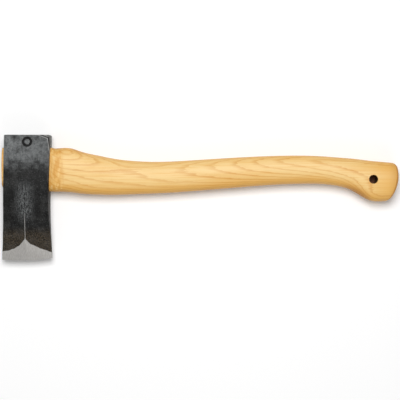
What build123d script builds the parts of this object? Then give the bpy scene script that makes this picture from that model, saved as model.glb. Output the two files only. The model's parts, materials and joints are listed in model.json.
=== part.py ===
from build123d import *

import os
from math import cos, radians, tan

# Hatchet: a forged steel head wedged on a curved wooden handle, lying on its cheek.
# +X runs from the head to the knob, +Y from the cutting edge to the poll, +Z up.
# The origin lies on the lower cheek, under the centre of the eye. Millimetres.
# Every piece is drawn about the middle plane of the head and lifted at the end.

# Head, seen from the side
eye_to_poll = 31.3          # eye centre line to the poll face
eye_to_edge = 89.9          # eye centre line to the lowest point of the edge
poll_left = 22.2            # eye centre to the left side, at the poll
poll_right = 22.2
waist_left = 23.0           # the same where the blade leaves the eye
waist_right = 20.8
bit_left = 25.0             # the same at the cutting edge
bit_right = 23.8
eye_left_share = 0.40       # of the way from the poll's width to the waist's, at the eye
eye_right_share = 0.45
edge_radius = 210.0         # of the curved cutting edge
edge_lean = 6.6             # centre of that curve, left of the eye centre

# Head, across its thickness
cheek_thickness = 28.0      # over the flat cheeks, beside the eye
cheek_crown = 0.5           # forged crown, ground off to leave the flats
poll_thickness = 22.4
blade_thickness = 10.6      # on the ridge, where the bevel starts
blade_start = 68.9          # eye centre line to the start of the bevel
edge_stock = 4.6            # on the ridge, at the edge, before the bevel is ground
hollow_depth = 1.75         # of the cheeks' hollow, each side of the ridge
ridge_shift = 2.3           # of the ridge, left of the eye centre
corner_radius = 2.6         # between cheek and side, at the eye
bit_corner_radius = 0.8     # the same at the bit
bevel_half_angle = 14.0     # degrees
edge_land = 0.3             # thickness left at the sharpened edge
poll_rounding = 1.5
wall_lean = 25.0            # degrees, the most that the sides turn from facing along X

# Eye, tongue and wedges
eye_depth_outer = 38.0      # along Y, on the side where the wedge goes in
eye_width_outer = 18.0      # along Z
eye_depth_inner = 36.0      # on the handle's side
eye_width_inner = 16.4
eye_fullness = 0.66
eye_rim_break = 0.8
eye_clearance = 0.05        # between the eye and the wood, all round
tongue_proud = 2.0          # wood left standing out of the eye
wedge_length = 32.0
wedge_thick_end = 5.6
wedge_thin_end = 1.0
kerf_width = 1.2
kerf_past_wedge = 4.0
ring_outer_diameter = 12.6
ring_wall = 1.7
ring_length = 10.0
ring_taper = 0.5            # lost by the outer radius towards the driven end
ring_sunk = 0.3             # below the end of the tongue

# Handle, from the head's side to the end of the knob
handle_length = 335.3
shoulder_depth = 42.1       # along Y
neck_depth = 30.4
grip_depth = 27.2
knob_depth = 38.4
shoulder_thickness = 19.6   # along Z
swell_thickness = 23.4
neck_thickness = 21.4
grip_thickness = 20.6
knob_thickness = 24.0
shoulder_drop = 2.35        # section centre, below the eye centre line
neck_drop = 9.9
grip_drop = 2.2
knob_drop = 13.6
end_radius = 36.6           # of the knob's end, seen from the side
end_centre_drop = 7.9
end_top_corner = 7.0
end_bottom_corner = 10.0
end_corner_relief = 0.2     # keeps the end's corners clear of the handle's own outline
end_plate_length = 30.0     # of the stretch of the knob that the end's corners may cut into
end_rounding = 3.0          # all round the end grain
lanyard_hole_diameter = 8.0
lanyard_hole_from_end = 24.4
lanyard_hole_drop = 11.6
lanyard_hole_break = 0.4

# How finely the two lofted forms are drawn
head_section_count = 17
handle_section_count = 40

middle_height = cheek_thickness / 2
overrun = 5.0               # of a cutting body past the surface that it cuts through
overlap = 1.0               # of two bodies that are joined


def between(start, end, share):
    """A value part of the way from start to end."""
    return start + (end - start) * share


def fair(points):
    """A function that reads off, at any x, the smooth curve through the points."""
    curve = Spline(*points)

    def height(x):
        low, high = 0.0, 1.0
        for _ in range(40):
            middle = (low + high) / 2
            if (curve @ middle).X < x:
                low = middle
            else:
                high = middle
        return (curve @ low).Y

    return height


def fair_columns(rows):
    """One function for each column after the first, read off at a place along the first."""
    places, *columns = zip(*rows)
    return [fair(list(zip(places, column))) for column in columns]


def fair_rows(rows, count):
    """count evenly spaced rows on the smooth curves through the columns of a few."""
    curves = fair_columns(rows)
    start, end = rows[0][0], rows[-1][0]
    spaced = [between(start, end, index / (count - 1)) for index in range(count)]
    return [(place, *(curve(place) for curve in curves)) for place in spaced]


# ---------------------------------------------------------------- head

def head_section(y, ridge, hollow, left, right, corner, crown):
    """One section of the forged head, across Y.

    ridge is the half thickness on the ridge, hollow what the sides lack of it, and
    crown is 1 where the cheek between them is domed and 0 where it is hollow."""
    ridge_x = -ridge_shift
    side = ridge - hollow
    bend = between(side, ridge, crown)

    def cheek(inner, z_sign):
        return Bezier(
            (ridge_x, y, z_sign * ridge),
            ((ridge_x + inner) / 2, y, z_sign * bend),
            (inner, y, z_sign * side),
        )

    def rounded(inner, outer, z_sign):
        return Bezier(
            (inner, y, z_sign * side),
            (outer, y, z_sign * side),
            (outer, y, z_sign * (side - corner)),
        )

    edges = []
    for inner, outer in ((right - corner, right), (corner - left, -left)):
        edges += [cheek(inner, 1), rounded(inner, outer, 1)]
        edges.append(Line((outer, y, side - corner), (outer, y, corner - side)))
        edges += [rounded(inner, outer, -1), cheek(inner, -1)]
    return Wire(edges)


def head_rows():
    """Named sections of the forging, from the poll to just past the edge."""
    poll = poll_thickness / 2
    crowned = cheek_thickness / 2 + cheek_crown
    bit = blade_thickness / 2
    edge = edge_stock / 2

    def left(share, to_bit=False):
        return between(waist_left, bit_left, share) if to_bit else between(
            poll_left, waist_left, share)

    def right(share, to_bit=False):
        return between(waist_right, bit_right, share) if to_bit else between(
            poll_right, waist_right, share)

    def corner(share):
        return between(corner_radius, bit_corner_radius, share)

    return [
        # down from the poll, ridge, hollow, left, right, corner, crown
        (0.0, poll, 0.2, left(0), right(0), corner(0), 1),
        (eye_to_poll * 0.45, between(poll, crowned, 0.64), 0.2,
         left(0.15), right(0.18), corner(0), 1),
        (eye_to_poll, crowned, 0.25, left(eye_left_share), right(eye_right_share), corner(0), 1),
        (eye_to_poll + blade_start * 0.16, crowned, 0.25,
         left(0.62), right(0.75), corner(0), 1),
        (eye_to_poll + blade_start * 0.32, between(crowned, bit, 0.065), 0.25 * hollow_depth,
         left(0.85), right(0.97), corner(0.15), 0.6),
        (eye_to_poll + blade_start * 0.51, between(crowned, bit, 0.304), 0.6 * hollow_depth,
         left(0.05, True), right(0, True), corner(0.45), 0.15),
        (eye_to_poll + blade_start * 0.74, between(crowned, bit, 0.64), 0.85 * hollow_depth,
         left(0.25, True), right(0.2, True), corner(0.8), 0),
        (eye_to_poll + blade_start, bit, hollow_depth,
         left(0.55, True), right(0.56, True), corner(1), 0),
        (eye_to_poll + eye_to_edge, edge, 0.45 * edge,
         left(1, True), right(1, True), corner(1), 0),
    ]


def head_blank():
    """The forging, with neither its eye nor its ground bevels."""
    sections = [
        head_section(eye_to_poll - down, *sizes)
        for down, *sizes in fair_rows(head_rows(), head_section_count)
    ]
    forging = Solid.make_loft(sections)
    slab = Box(2 * (bit_left + overrun), 2 * (eye_to_edge + overrun), cheek_thickness)
    return forging & slab


def bevel_body():
    """The space between the two ground bevels: a lens whose rim is the edge."""
    rise = edge_radius * tan(radians(bevel_half_angle))
    land = edge_land / 2
    profile = Polyline(
        (0, -rise - land), (edge_radius, -land), (edge_radius, land), (0, rise + land),
        close=True,
    )
    lens = revolve(make_face(Plane.XZ * profile), Axis.Z)
    return Pos(-edge_lean, edge_radius - eye_to_edge, 0) * lens


def oval(x, centre_y, depth, thickness, fullness):
    """A closed oval across X, between an ellipse and a rounded rectangle."""
    a = depth / 2
    b = thickness / 2
    corners = [(a, 0), (0, b), (-a, 0), (0, -b)]
    edges = []
    for index, (y0, z0) in enumerate(corners):
        y1, z1 = corners[(index + 1) % 4]
        edges.append(Bezier(
            (x, centre_y + y0, z0),
            (x, centre_y + y0 + fullness * y1, z0 + fullness * z1),
            (x, centre_y + y1 + fullness * y0, z1 + fullness * z0),
            (x, centre_y + y1, z1),
        ))
    return Wire(edges)


def eye_body(outer_x, inner_x, shrink=0.0):
    """The tapered eye from outer_x to inner_x, or the wood in it, shrunk all round."""
    span = waist_left + waist_right

    def section(x):
        share = (x + waist_left) / span
        depth = between(eye_depth_outer, eye_depth_inner, share) - 2 * shrink
        width = between(eye_width_outer, eye_width_inner, share) - 2 * shrink
        return oval(x, 0, depth, width, eye_fullness)

    return Solid.make_loft([section(outer_x), section(inner_x)], ruled=True)


def poll_rim(body):
    """The edges round the flat striking face."""
    return body.faces().sort_by(Axis.Y)[-1].edges()


def eye_rims(body):
    """The edges where the eye opens on the two sides of the head."""
    steepest = cos(radians(wall_lean))
    walls = body.faces().filter_by(lambda face: abs(face.normal_at().X) > steepest)
    return [edge for face in walls for wire in face.inner_wires() for edge in wire.edges()]


def axe_head():
    """The finished head: forging, ground bevels, eye, and the rims broken."""
    ground = head_blank() & bevel_body()
    ground = fillet(poll_rim(ground), poll_rounding)
    head = ground - eye_body(-bit_left - overrun, bit_right + overrun)
    return chamfer(eye_rims(head), eye_rim_break)


# ---------------------------------------------------------------- handle

def tongue_end():
    """Where the wood stands out of the eye, on the eye's centre line."""
    return -between(poll_left, waist_left, eye_left_share) - tongue_proud


def handle_rows():
    """Named sections of the handle, from inside the head to past the end of the knob."""
    rows = [
        # share of length, drop, depth, thickness, fullness
        (-0.020, shoulder_drop, shoulder_depth, shoulder_thickness, 0.72),
        (0.014, shoulder_drop, shoulder_depth, 0.93 * swell_thickness, 0.72),
        (0.036, shoulder_drop + 0.08, 1.006 * shoulder_depth, swell_thickness, 0.72),
        (0.058, 1.19 * shoulder_drop, 1.010 * shoulder_depth, swell_thickness, 0.72),
        (0.073, between(shoulder_drop, neck_drop, 0.18), 0.993 * shoulder_depth,
         swell_thickness, 0.72),
        (0.092, between(shoulder_drop, neck_drop, 0.40),
         between(shoulder_depth, neck_depth, 0.15), swell_thickness, 0.71),
        (0.120, between(shoulder_drop, neck_drop, 0.575),
         between(shoulder_depth, neck_depth, 0.285), swell_thickness, 0.70),
        (0.175, between(shoulder_drop, neck_drop, 0.86),
         between(shoulder_depth, neck_depth, 0.57),
         between(swell_thickness, neck_thickness, 0.45), 0.68),
        (0.240, neck_drop, between(shoulder_depth, neck_depth, 0.85),
         between(swell_thickness, neck_thickness, 0.8), 0.66),
        (0.320, 0.99 * neck_drop, neck_depth, neck_thickness, 0.65),
        (0.410, between(neck_drop, grip_drop, 0.24), between(neck_depth, grip_depth, 0.17),
         between(neck_thickness, grip_thickness, 0.6), 0.65),
        (0.525, between(neck_drop, grip_drop, 0.60), between(neck_depth, grip_depth, 0.38),
         grip_thickness, 0.65),
        (0.640, between(neck_drop, grip_drop, 0.91), between(neck_depth, grip_depth, 0.77),
         grip_thickness, 0.65),
        (0.725, grip_drop, grip_depth, grip_thickness, 0.65),
        (0.800, between(grip_drop, knob_drop, 0.08), 0.99 * grip_depth,
         between(grip_thickness, knob_thickness, 0.2), 0.65),
        (0.841, between(grip_drop, knob_drop, 0.235), between(grip_depth, knob_depth, 0.09),
         between(grip_thickness, knob_thickness, 0.4), 0.66),
        (0.869, between(grip_drop, knob_drop, 0.42), between(grip_depth, knob_depth, 0.34),
         between(grip_thickness, knob_thickness, 0.6), 0.68),
        (0.895, between(grip_drop, knob_drop, 0.70), between(grip_depth, knob_depth, 0.72),
         between(grip_thickness, knob_thickness, 0.8), 0.70),
        (0.922, between(grip_drop, knob_drop, 0.935), knob_depth,
         between(grip_thickness, knob_thickness, 0.95), 0.72),
        (0.960, 1.01 * knob_drop, 0.985 * knob_depth, knob_thickness, 0.72),
        (1.020, 1.09 * knob_drop, 0.93 * knob_depth, knob_thickness, 0.72),
    ]
    return [(share * handle_length, *sizes) for share, *sizes in rows]


def handle_start():
    """Where the head's side meets the handle, on the eye's centre line."""
    return between(poll_right, waist_right, eye_right_share)


def knob_end():
    """Where the rounded end of the knob is furthest out."""
    return handle_start() + handle_length


def handle_body():
    """The shaped handle, running a little way into the head and past its own end."""
    return Solid.make_loft([
        oval(handle_start() + along, -drop, depth, thickness, fullness)
        for along, drop, depth, thickness, fullness in fair_rows(
            handle_rows(), handle_section_count)
    ])


def end_keeper():
    """What the rounded end leaves of the handle, as a thick plate seen from the side."""
    drop, depth, *_ = fair_columns(handle_rows())
    below = -knob_drop - knob_depth / 2 - end_corner_relief

    def above(along):
        return depth(along) / 2 - drop(along) + end_corner_relief

    plate_start = handle_length - end_plate_length
    inner_x = handle_start() + plate_start
    plate = make_face(Polyline(
        (inner_x, below), (knob_end(), below),
        (knob_end(), above(handle_length)), (inner_x, above(plate_start)), close=True,
    ))
    plate &= Pos(knob_end() - end_radius, -end_centre_drop) * Circle(end_radius)
    low, _ = plate.vertices().sort_by(Axis.X)[-2:].sort_by(Axis.Y)
    plate = fillet(low, end_bottom_corner)
    high = plate.vertices().sort_by(Axis.X)[-1]
    plate = fillet(high, end_top_corner)
    rest = Rectangle(
        handle_length + overrun, 2 * (shoulder_depth + overrun), align=(Align.MAX, Align.CENTER))
    return extrude(plate + Pos(inner_x + overlap, 0) * rest, knob_thickness, both=True)


def end_rim(body):
    """The edges round the end grain, where its curved face meets the handle's sides."""
    grain = body.faces().filter_by(GeomType.CYLINDER)
    sides = body.faces().filter_by(GeomType.BSPLINE)
    side_edges = [edge for face in sides for edge in face.edges()]
    return [
        edge for face in grain for edge in face.edges()
        if any(edge.is_same(other) for other in side_edges)
    ]


def lanyard_hole_x():
    """Where the lanyard hole's axis crosses the handle."""
    return knob_end() - lanyard_hole_from_end


def lanyard_hole():
    """The drill that bores the knob for a lanyard."""
    drill = Cylinder(lanyard_hole_diameter / 2, knob_thickness + 2 * overrun)
    return Pos(lanyard_hole_x(), -lanyard_hole_drop, 0) * drill


def hole_rims(body):
    """The two rims of the lanyard hole."""
    centre = Vector(lanyard_hole_x(), -lanyard_hole_drop, 0)
    reach = lanyard_hole_diameter / 2

    def is_rim(edge):
        offset = edge.center(CenterOf.BOUNDING_BOX) - centre
        across = Vector(offset.X, offset.Y, 0).length
        return across < reach and abs(offset.Z) > reach

    return body.edges().filter_by(is_rim)


def wedge_body():
    """The wedge's taper, from beyond the end of the tongue down to its thin end."""
    outer_x = tongue_end()
    slope = (wedge_thick_end - wedge_thin_end) / wedge_length
    thick = (wedge_thick_end + slope * overrun) / 2
    thin = wedge_thin_end / 2
    profile = Polyline(
        (outer_x - overrun, -thick), (outer_x + wedge_length, -thin),
        (outer_x + wedge_length, thin), (outer_x - overrun, thick), close=True,
    )
    return extrude(make_face(Plane.XZ * profile), eye_depth_outer, both=True)


def saw_kerf():
    """The narrow saw cut that the wedge opened, a little deeper than the wedge."""
    length = wedge_length + kerf_past_wedge
    kerf = Box(length, eye_depth_outer + 2 * overrun, kerf_width)
    return Pos(tongue_end() + length / 2, 0, 0) * kerf


def ring_body():
    """The ring wedge: a short tapered tube with a sharp driven end."""
    outer = ring_outer_diameter / 2
    start = tongue_end() + ring_sunk
    end = start + ring_length
    profile = Polyline(
        (start, outer), (end, outer - ring_taper), (start, outer - ring_wall), close=True,
    )
    return revolve(make_face(profile), Axis.X)


def ring_groove():
    """The space that the ring takes in the wood, open at the end of the tongue."""
    outer = ring_outer_diameter / 2
    mouth = Cylinder(outer, 2 * ring_sunk, rotation=(0, 90, 0))
    mouth -= Cylinder(outer - ring_wall, 2 * ring_sunk, rotation=(0, 90, 0))
    return ring_body() + Pos(tongue_end(), 0, 0) * mouth


def wooden_wedge():
    """The wedge, as deep as the eye, driven flush with the end of the tongue."""
    eye = eye_body(tongue_end(), poll_right, eye_clearance)
    return (wedge_body() & eye) - ring_groove()


def handle():
    """The handle in one piece: knob, grip, shoulder and the tongue that fills the eye."""
    body = handle_body() & end_keeper()
    body = fillet(end_rim(body), end_rounding)
    body -= head_blank()
    body += eye_body(tongue_end(), handle_start() + overlap, eye_clearance)
    body -= wedge_body()
    body -= saw_kerf()
    body -= ring_groove()
    body -= lanyard_hole()
    return chamfer(hole_rims(body), lanyard_hole_break)


os.makedirs("parts", exist_ok=True)
pieces = {
    "axe_head": axe_head(),
    "handle": handle(),
    "wooden_wedge": wooden_wedge(),
    "ring_wedge": ring_body(),
}
for name, piece in pieces.items():
    export_step(Pos(0, 0, middle_height) * piece, f"parts/{name}.step")
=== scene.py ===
"""Looks of a hand hatchet: a forged head wedged on a curved wooden handle.

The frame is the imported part: +X runs from the head to the knob, +Y from the cutting
edge to the poll and +Z up, in metres. The hatchet lies on its cheek on the floor.
"""

from __future__ import annotations

import json
import logging
import math
from dataclasses import dataclass
from enum import Enum
from functools import reduce
from typing import Any, Callable, ClassVar, Sequence

import bmesh
import bpy
from mathutils import Matrix, Vector

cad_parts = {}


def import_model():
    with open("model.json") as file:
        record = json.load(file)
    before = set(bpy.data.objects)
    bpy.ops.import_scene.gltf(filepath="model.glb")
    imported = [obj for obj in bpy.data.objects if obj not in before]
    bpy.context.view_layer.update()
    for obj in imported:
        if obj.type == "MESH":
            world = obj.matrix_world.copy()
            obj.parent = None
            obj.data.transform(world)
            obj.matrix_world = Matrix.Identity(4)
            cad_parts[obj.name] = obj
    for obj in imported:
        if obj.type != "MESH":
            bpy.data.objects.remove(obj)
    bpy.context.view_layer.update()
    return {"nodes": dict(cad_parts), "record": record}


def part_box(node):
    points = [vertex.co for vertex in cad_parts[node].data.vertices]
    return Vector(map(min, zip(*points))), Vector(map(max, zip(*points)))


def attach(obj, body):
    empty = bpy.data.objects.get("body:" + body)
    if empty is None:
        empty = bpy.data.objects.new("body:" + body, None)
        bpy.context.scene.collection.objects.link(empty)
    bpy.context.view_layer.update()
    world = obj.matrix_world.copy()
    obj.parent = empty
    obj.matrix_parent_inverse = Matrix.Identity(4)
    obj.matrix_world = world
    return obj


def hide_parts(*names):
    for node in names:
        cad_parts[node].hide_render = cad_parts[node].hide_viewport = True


LOG = logging.getLogger("hatchet")
MM = 0.001
TOUCH = 1e-5
WELD = 2e-6
ROUND = 4 / 3 * (math.sqrt(2) - 1)  # handle length of a curve's circle of radius 1
BODY = "root"

Rule = Callable[[Vector], bool]
Curve = Callable[[float], float]
Socket = bpy.types.NodeSocket
Colour = tuple[float, float, float]


# ---------------------------------------------------------------- modelling bench


class Cut(Enum):
    """What a boolean leaves of the piece."""

    KEEP_INSIDE = "INTERSECT"
    TAKE_AWAY = "DIFFERENCE"


def fair(points: Sequence[tuple[float, float]]) -> Curve:
    """A smooth curve through points that are sorted by their first value.

    Args:
        points: Pairs of place and height.

    Returns:
        A function that gives the height at any place between the first and last.
    """
    slopes = []
    for index in range(len(points)):
        before = points[max(index - 1, 0)]
        after = points[min(index + 1, len(points) - 1)]
        slopes.append((after[1] - before[1]) / (after[0] - before[0]))

    def height(place: float) -> float:
        """The curve's height, by one cubic piece between each two points.

        Args:
            place: Where the height is wanted.

        Returns:
            The height there, or that of the nearer end outside the points.
        """
        index = 0
        while index < len(points) - 2 and place > points[index + 1][0]:
            index += 1
        (x0, y0), (x1, y1) = points[index], points[index + 1]
        width = x1 - x0
        t = min(max((place - x0) / width, 0.0), 1.0)
        start = (2 * t**3 - 3 * t**2 + 1) * y0 + (t**3 - 2 * t**2 + t) * width * slopes[index]
        end = (3 * t**2 - 2 * t**3) * y1 + (t**3 - t**2) * width * slopes[index + 1]
        return start + end

    return height


class Bench:
    """The few moves from which every piece is made."""

    @staticmethod
    def clear() -> None:
        """Deselects every object."""
        bpy.ops.object.select_all(action="DESELECT")

    @staticmethod
    def pick(piece: bpy.types.Object) -> None:
        """Makes the piece the only selected object and the active one.

        Args:
            piece: The object to pick.
        """
        Bench.clear()
        piece.select_set(True)
        bpy.context.view_layer.objects.active = piece

    @staticmethod
    def added(name: str) -> bpy.types.Object:
        """Names the primitive just added and puts its place in its mesh.

        Args:
            name: The name of the object and of its mesh.

        Returns:
            The object, at the origin.
        """
        piece = bpy.context.active_object
        piece.name = piece.data.name = name
        Bench.pick(piece)
        bpy.ops.object.transform_apply(location=True, rotation=True, scale=True)
        return piece

    @staticmethod
    def edit(piece: bpy.types.Object) -> None:
        """Opens the piece in edit mode, by its vertices.

        Args:
            piece: The object to open.
        """
        Bench.pick(piece)
        bpy.ops.object.mode_set(mode="EDIT")
        bpy.ops.mesh.select_mode(type="VERT")

    @staticmethod
    def close() -> None:
        """Leaves edit mode."""
        bpy.ops.object.mode_set(mode="OBJECT")

    @staticmethod
    def select(piece: bpy.types.Object, rule: Rule) -> None:
        """Selects the vertices whose place passes a rule, in edit mode.

        Args:
            piece: The object that is open in edit mode.
            rule: Says of a place whether its vertex is wanted.
        """
        mesh = bmesh.from_edit_mesh(piece.data)
        for vertex in mesh.verts:
            vertex.select_set(rule(vertex.co))
        mesh.select_flush_mode()
        bmesh.update_edit_mesh(piece.data)

    @staticmethod
    def slice(point: Vector, normal: Vector) -> None:
        """Divides the piece in edit mode along a plane through the point."""
        bpy.ops.mesh.select_all(action="SELECT")
        bpy.ops.mesh.bisect(plane_co=point, plane_no=normal)

    @staticmethod
    def finish(piece: bpy.types.Object, kind: str, **settings: Any) -> None:
        """Adds a modifier with its settings and applies it.

        Args:
            piece: The object to modify.
            kind: The modifier's type.
            settings: The modifier's own properties.
        """
        Bench.pick(piece)
        modifier = piece.modifiers.new(kind.lower(), kind)
        for name, value in settings.items():
            setattr(modifier, name, value)
        bpy.ops.object.modifier_apply(modifier=modifier.name)

    @staticmethod
    def cut(piece: bpy.types.Object, tool: bpy.types.Object, way: Cut) -> None:
        """Cuts the piece with a tool, which is then thrown away."""
        Bench.finish(piece, "BOOLEAN", object=tool, operation=way.value, solver="MANIFOLD")
        bpy.data.objects.remove(tool)

    @staticmethod
    def copy_of(node: bpy.types.Object, name: str) -> bpy.types.Object:
        """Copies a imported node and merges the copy's loose triangles.

        Args:
            node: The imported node, which stays as it is.
            name: The name of the copy and of its mesh.

        Returns:
            The copy, free of the node's parent and marks.
        """
        piece = node.copy()
        piece.data = node.data.copy()
        piece.name = piece.data.name = name
        piece.parent = None
        for key in list(piece.keys()):
            del piece[key]
        bpy.context.scene.collection.objects.link(piece)
        Bench.pick(piece)
        bpy.ops.mesh.customdata_custom_splitnormals_clear()
        Bench.edit(piece)
        bpy.ops.mesh.select_all(action="SELECT")
        bpy.ops.mesh.remove_doubles(threshold=WELD)
        Bench.close()
        return piece

    @staticmethod
    def smooth(piece: bpy.types.Object, degrees: float) -> None:
        """Shades the piece smooth, except over edges sharper than the angle."""
        Bench.pick(piece)
        bpy.ops.object.shade_smooth_by_angle(angle=math.radians(degrees))


# ---------------------------------------------------------------- node graphs


class Graph:
    """Adds nodes to a tree and wires them."""

    def __init__(self, tree: bpy.types.NodeTree) -> None:
        """Starts on a tree, which may hold nodes already."""
        self.tree = tree

    def node(
        self, kind: str, inputs: dict[str | int, Any] | None = None, **settings: Any
    ) -> bpy.types.Node:
        """Adds a node.

        Args:
            kind: The node's type name, without its ShaderNode prefix.
            inputs: Sockets to join or values to set, by input name or number.
            settings: The node's own properties.

        Returns:
            The node.
        """
        prefix = "" if kind.startswith("NodeGroup") else "ShaderNode"
        node = self.tree.nodes.new(prefix + kind)
        for name, value in settings.items():
            setattr(node, name, value)
        for key, value in (inputs or {}).items():
            self.feed(node.inputs[key], value)
        return node

    def feed(self, target: Socket, value: Any) -> None:
        """Joins a socket to an input, or sets the input's value.

        Args:
            target: The input.
            value: A socket, a number, a vector or a colour of three numbers.
        """
        if isinstance(value, bpy.types.NodeSocket):
            self.tree.links.new(value, target)
        elif isinstance(value, tuple) and len(value) == 3 and target.type == "RGBA":
            target.default_value = (*value, 1.0)
        else:
            target.default_value = value

    def place(self) -> Socket:
        """The piece's own coordinates."""
        return self.node("TexCoord").outputs["Object"]

    def parts(self, vector: Socket) -> Sequence[Socket]:
        """The three numbers of a vector."""
        return self.node("SeparateXYZ", {0: vector}).outputs

    def math(self, operation: str, *values: Any) -> Socket:
        """The result of a sum on numbers and sockets."""
        inputs = dict(enumerate(values))
        return self.node("Math", inputs, operation=operation).outputs[0]

    def total(self, *values: Any) -> Socket:
        """The sum of several numbers and sockets."""
        return reduce(lambda so_far, value: self.math("ADD", so_far, value), values)

    def times(self, *values: Any) -> Socket:
        """The product of several numbers and sockets."""
        return reduce(lambda product, value: self.math("MULTIPLY", product, value), values)

    def most(self, *values: Any) -> Socket:
        """The largest of several numbers and sockets."""
        return reduce(lambda largest, value: self.math("MAXIMUM", largest, value), values)

    def off(self, value: Any, middle: Any) -> Socket:
        """How far a number lies from a middle one, either way."""
        return self.math("ABSOLUTE", self.math("SUBTRACT", value, middle))

    def reach(self, x: Socket, y: Socket) -> Socket:
        """The length of a pair of numbers."""
        return self.math("SQRT", self.total(self.times(x, x), self.times(y, y)))

    def distance(self, place: Socket, spot: Vector) -> Socket:
        """How far a place lies from a fixed spot."""
        return self.node("VectorMath", {0: place, 1: spot}, operation="DISTANCE").outputs["Value"]

    def stretch(self, vector: Socket, scale: Sequence[float]) -> Socket:
        """The vector with each axis scaled."""
        inputs = {"Vector": vector, "Scale": tuple(scale)}
        return self.node("Mapping", inputs).outputs[0]

    def noise(self, vector: Socket, scale: Any, detail: float = 3.0, rough: float = 0.5) -> Socket:
        """Smooth noise from 0 to 1 with features of about 1 / scale metres."""
        inputs = {"Vector": vector, "Scale": scale, "Detail": detail, "Roughness": rough}
        return self.node("TexNoise", inputs).outputs[0]

    def fade(self, value: Any, low: Any, high: Any, start: Any = 0.0, end: Any = 1.0) -> Socket:
        """A smooth change from start to end while the value goes from low to high."""
        inputs = {0: value, 1: low, 2: high, 3: start, 4: end}
        return self.node("MapRange", inputs, interpolation_type="SMOOTHSTEP").outputs[0]

    def mix(self, share: Any, first: Any, second: Any) -> Socket:
        """A colour between two colours.

        Args:
            share: How much of the second there is, from 0 to 1.
            first: The colour or socket at a share of 0.
            second: The colour or socket at a share of 1.

        Returns:
            The mixed colour.
        """
        node = self.node("Mix", data_type="RGBA")
        self.feed(node.inputs[0], share)
        self.feed(node.inputs[6], first)
        self.feed(node.inputs[7], second)
        return node.outputs[2]

    def group(self, tree: bpy.types.NodeTree, inputs: dict[str, Any]) -> Sequence[Socket]:
        """Places a node group with its own values.

        Args:
            tree: The group.
            inputs: Sockets to join or values to set, by input name.

        Returns:
            The group's outputs, in their order.
        """
        node = self.node("Group", node_tree=tree)
        for key, value in inputs.items():
            self.feed(node.inputs[key], value)
        return node.outputs


class Effect:
    """A shader node group that several finishes share, built once."""

    name = "effect"
    takes: dict[str, tuple[str, Any]] = {}
    gives: dict[str, str] = {}

    def __init__(self) -> None:
        """Builds the group with its named inputs and outputs."""
        self.tree = bpy.data.node_groups.new(self.name, "ShaderNodeTree")
        face = self.tree.interface
        for key, (kind, value) in self.takes.items():
            socket = face.new_socket(key, in_out="INPUT", socket_type=f"NodeSocket{kind}")
            if value is not None:
                socket.default_value = value
        for key, kind in self.gives.items():
            face.new_socket(key, in_out="OUTPUT", socket_type=f"NodeSocket{kind}")
        graph = Graph(self.tree)
        inputs = graph.node("NodeGroupInput").outputs
        outputs = graph.node("NodeGroupOutput").inputs
        for key, socket in self.work(graph, inputs).items():
            graph.feed(outputs[key], socket)

    def work(self, graph: Graph, inputs: Any) -> dict[str, Socket]:
        """Wires the inside of the group.

        Args:
            graph: The group's own graph.
            inputs: The group's inputs, by name.

        Returns:
            The socket for each output.
        """
        raise NotImplementedError


class GrowthRings(Effect):
    """Grain of sawn ash: rings about a distant pith, streaks and open pores."""

    name = "growth rings"
    takes = {
        "Place": ("Vector", None),
        "Spacing": ("Float", 2.6 * MM),
        "Slope": ("Float", 0.05),
        "Pith": ("Vector", (0.051, -0.0145, -0.0220)),
    }
    gives = {"Ring": "Float", "Streak": "Float", "Pore": "Float", "Tone": "Float"}
    wander = 1.2 * MM
    fray = 0.6 * MM

    def work(self, graph: Graph, inputs: Any) -> dict[str, Socket]:
        """Measures each place from the pith and folds that into rings.

        Args:
            graph: The group's own graph.
            inputs: The group's inputs, by name.

        Returns:
            The socket for each output.
        """
        place = inputs["Place"]
        away = graph.node("VectorMath", {0: place, 1: inputs["Pith"]}, operation="SUBTRACT")
        x, y, z = graph.parts(away.outputs[0])
        lean = graph.times(x, inputs["Slope"])
        drift = graph.noise(graph.stretch(place, (7.0, 32.0, 32.0)), 1.0, 2.0)
        wander = graph.times(graph.math("SUBTRACT", drift, 0.5), self.wander)
        fibre = graph.noise(graph.stretch(place, (40.0, 700.0, 700.0)), 1.0, 2.0)
        fray = graph.times(graph.math("SUBTRACT", fibre, 0.5), self.fray)
        depth = graph.total(graph.reach(y, z), lean, wander, fray)
        season = graph.math("FRACT", graph.math("DIVIDE", depth, inputs["Spacing"]))
        early = graph.fade(season, 0.0, 0.35, 1.0, 0.25)
        grit = graph.noise(graph.stretch(place, (170.0, 3600.0, 3600.0)), 1.0, 1.0)
        return {
            "Ring": graph.times(
                graph.fade(season, 0.58, 0.92), graph.fade(season, 0.93, 1.0, 1.0, 0.0)),
            "Streak": graph.noise(graph.stretch(place, (14.0, 720.0, 720.0)), 1.0, 4.0, 0.6),
            "Pore": graph.times(graph.fade(grit, 0.60, 0.70), early),
            "Tone": graph.noise(graph.stretch(place, (9.0, 70.0, 70.0)), 1.0, 3.0),
        }


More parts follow.
